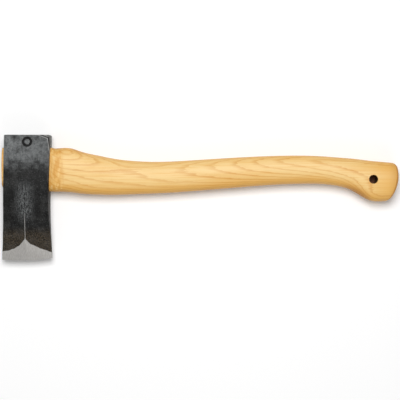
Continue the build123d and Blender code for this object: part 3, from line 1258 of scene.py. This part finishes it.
@dataclass
class WoodenPiece:
    """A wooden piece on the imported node's own form, merged and shaded smooth."""

    node: bpy.types.Object
    finish: Finish
    sharp: float = 28.0

    def shape(self, piece: bpy.types.Object) -> None:
        """Leaves wood in the form that it has."""

    def build(self) -> bpy.types.Object:
        """Makes the piece and dresses it.

        Returns:
            The finished piece.
        """
        piece = Bench.copy_of(self.node, f"{self.node.name}_shaped")
        self.shape(piece)
        Bench.smooth(piece, self.sharp)
        self.finish.dress(piece)
        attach(piece, BODY)
        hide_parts(self.node.name)
        return piece


@dataclass
class RingWedge(WoodenPiece):
    """The ring wedge, with its driven end's rims broken."""

    rim: float = 0.15 * MM
    rim_angle: float = 40.0

    def shape(self, piece: bpy.types.Object) -> None:
        """Rounds the ring's rims.

        Args:
            piece: The merged copy of the ring.
        """
        Bench.finish(
            piece, "BEVEL", width=self.rim, segments=2, limit_method="ANGLE",
            angle_limit=math.radians(self.rim_angle),
        )


# ---------------------------------------------------------------- studio


@dataclass(frozen=True)
class Lamp:
    """A square soft lamp: its place from what it is aimed at, its size and its power."""

    name: str
    place: tuple[float, float, float]
    size: float
    power: float

    def build(self, focus: Vector) -> None:
        """Hangs the lamp and aims it.

        Args:
            focus: What the lamp is aimed at.
        """
        light = bpy.data.lights.new(self.name, "AREA")
        light.shape = "SQUARE"
        light.size = self.size
        light.energy = self.power
        lamp = bpy.data.objects.new(self.name, light)
        lamp.location = focus + Vector(self.place)
        lamp.rotation_euler = (-Vector(self.place)).to_track_quat("-Z", "Y").to_euler()
        bpy.context.scene.collection.objects.link(lamp)


@dataclass
class Studio:
    """Pale floor, soft lamps and the camera straight above the hatchet.

    shade is the spot of the floor under the lanyard hole, painted as shadow and kept free of glow.
    The paper's glow is what the camera sees of it beside its own light, and it grows to full white
    between the two distances of glow_grows.
    """

    focus: Vector
    shade: Vector
    shade_radius: float = 4.5 * MM
    shade_colour: Colour = (0.30, 0.15, 0.10)
    paper_colour: Colour = (0.94, 0.94, 0.94)
    paper_glow: float = 0.085
    glow_grows: tuple[float, float] = (0.45, 1.5)
    floor_size: float = 8.0
    floor_drop: float = 0.2 * MM
    sky_light: float = 0.22
    lamps: tuple[Lamp, ...] = (
        Lamp("key", (-0.05, 0.42, 1.4), 0.66, 17.5),
        Lamp("fill", (0.25, -1.25, 0.95), 0.9, 3.6),
    )
    camera_height: float = 1.5
    view_width: float = 0.3864
    sensor: float = 36.0

    def floor(self) -> None:
        """A white floor that keeps the hatchet's shadow."""
        Bench.clear()
        place = (self.focus.x, self.focus.y, -self.floor_drop)
        bpy.ops.mesh.primitive_plane_add(size=self.floor_size, location=place)
        floor = Bench.added("studio_floor")
        material = bpy.data.materials.new("floor paper")
        material.use_nodes = True
        graph = Graph(material.node_tree)
        shader = material.node_tree.nodes["Principled BSDF"]
        # Painted shadow: the floor under the lanyard hole is coloured deep brown and gets no glow.
        away = graph.distance(graph.place(), self.shade)
        clear = graph.fade(away, self.shade_radius, 1.4 * self.shade_radius)
        paper = graph.mix(clear, self.shade_colour, self.paper_colour)
        graph.feed(shader.inputs["Base Color"], paper)
        graph.feed(shader.inputs["Roughness"], 0.9)
        graph.feed(shader.inputs["Specular IOR Level"], 0.0)
        rays = graph.node("LightPath").outputs
        seen = graph.most(rays["Is Camera Ray"], rays["Is Glossy Ray"], rays["Is Transmission Ray"])
        graph.feed(shader.inputs["Emission Color"], (1.0, 1.0, 1.0))
        far = graph.fade(away, *self.glow_grows, self.paper_glow, 1.0)
        glow = graph.times(seen, clear, far)
        graph.feed(shader.inputs["Emission Strength"], glow)
        floor.data.materials.append(material)

    def sky(self) -> None:
        """Even pale surroundings, white where the camera sees them."""
        world = bpy.data.worlds.new("studio")
        bpy.context.scene.world = world
        world.use_nodes = True
        graph = Graph(world.node_tree)
        background = world.node_tree.nodes["Background"]
        rays = graph.node("LightPath").outputs
        strength = graph.fade(rays["Is Camera Ray"], 0.0, 1.0, self.sky_light, 1.0)
        graph.feed(background.inputs["Color"], (1.0, 1.0, 1.0))
        graph.feed(background.inputs["Strength"], strength)

    def camera(self) -> None:
        """The camera, straight above, with the handle running across its view."""
        lens = bpy.data.cameras.new("camera")
        lens.sensor_width = self.sensor
        lens.lens = self.sensor * self.camera_height / self.view_width
        camera = bpy.data.objects.new("camera", lens)
        camera.location = self.focus + Vector((0, 0, self.camera_height))
        bpy.context.scene.collection.objects.link(camera)
        bpy.context.scene.camera = camera

    def build(self) -> None:
        """Sets the whole studio up."""
        self.floor()
        self.sky()
        for lamp in self.lamps:
            lamp.build(self.focus)
        self.camera()
        bpy.context.scene.view_settings.view_transform = "Standard"


# ---------------------------------------------------------------- whole hatchet


def main() -> None:
    """Builds the hatchet's pieces in order and sets the studio up round them."""
    logging.basicConfig(level=logging.INFO, format="%(name)s: %(message)s")
    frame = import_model()
    low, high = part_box("axe_head")
    middle = (low.z + high.z) / 2
    centre = Vector((166.1 * MM, -31.5 * MM, middle))
    mount = next(m for m in frame["record"]["mounts"] if m["name"] == "lanyard_hole")
    hole = (Vector(mount["pos_m"]), mount["dims"]["r_mm"] * MM)

    rings, weathering = GrowthRings(), Weathering()
    sizes = HeadSizes(middle=middle)
    nodes = frame["nodes"]
    builders = [
        AxeHead(sizes, ForgedSteel(weathering, sizes)),
        WoodenPiece(nodes["handle"], OiledWood(rings, hole)),
        WoodenPiece(nodes["wooden_wedge"], WedgeWood(rings, hole)),
        RingWedge(nodes["ring_wedge"], RingSteel(weathering)),
    ]
    for builder in builders:
        piece = builder.build()
        LOG.info("%s: %d faces", piece.name, len(piece.data.polygons))

    shade = Vector((hole[0].x, hole[0].y, 0.0))
    Studio(focus=centre, shade=shade).build()


if __name__ == "__main__":
    main()
